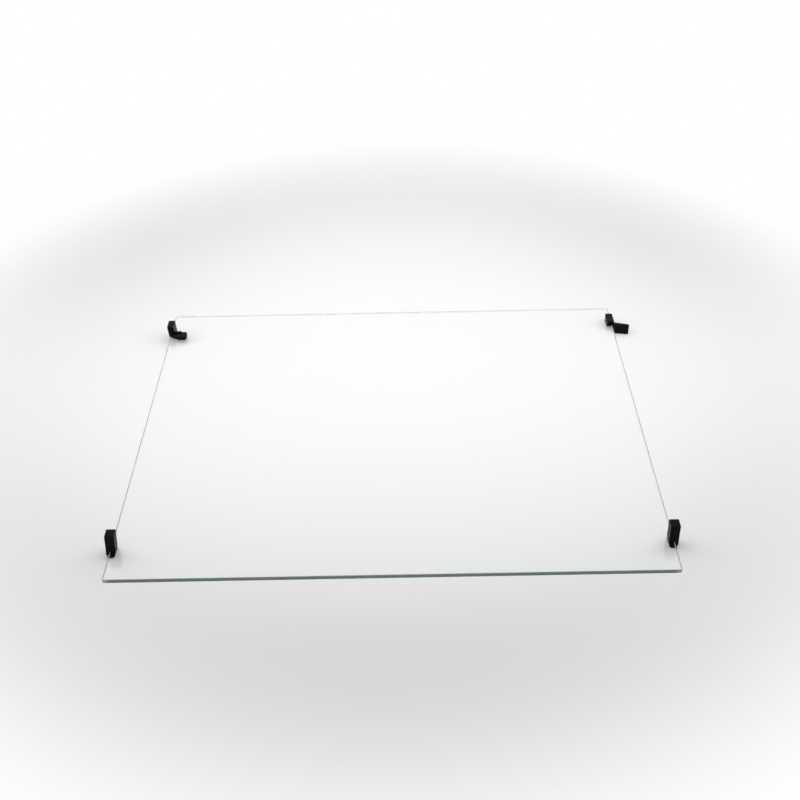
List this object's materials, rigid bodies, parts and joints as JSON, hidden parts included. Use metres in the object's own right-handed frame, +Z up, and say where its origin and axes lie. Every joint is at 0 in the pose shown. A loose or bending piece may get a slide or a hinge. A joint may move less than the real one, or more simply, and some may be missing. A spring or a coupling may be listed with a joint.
{
  "type": "oven door inner glass",
  "caption": "Clear flat glass pane of an oven door with black rubber spacers and holders gripping its side edges.",
  "frame": {"origin": "middle of the glass pane, half-way through its thickness", "axes": "+X across the door along the pane's longer side, +Y from the near edge, by the spacer posts, to the far edge, +Z up out of the face that the posts stand on"},
  "size_m": [0.505, 0.408, 0.025],
  "materials": {
    "clear_glass": "clear toughened float glass, polished faces, ground edges, faint green tint",
    "black_rubber": "matt black moulded rubber with a fine grain"
  },
  "bodies": {
    "root": {"glass_pane": "clear_glass", "front_left_spacer": "black_rubber", "front_right_spacer": "black_rubber", "rear_left_holder": "black_rubber", "rear_right_holder": "black_rubber"}
  },
  "joints": []
}
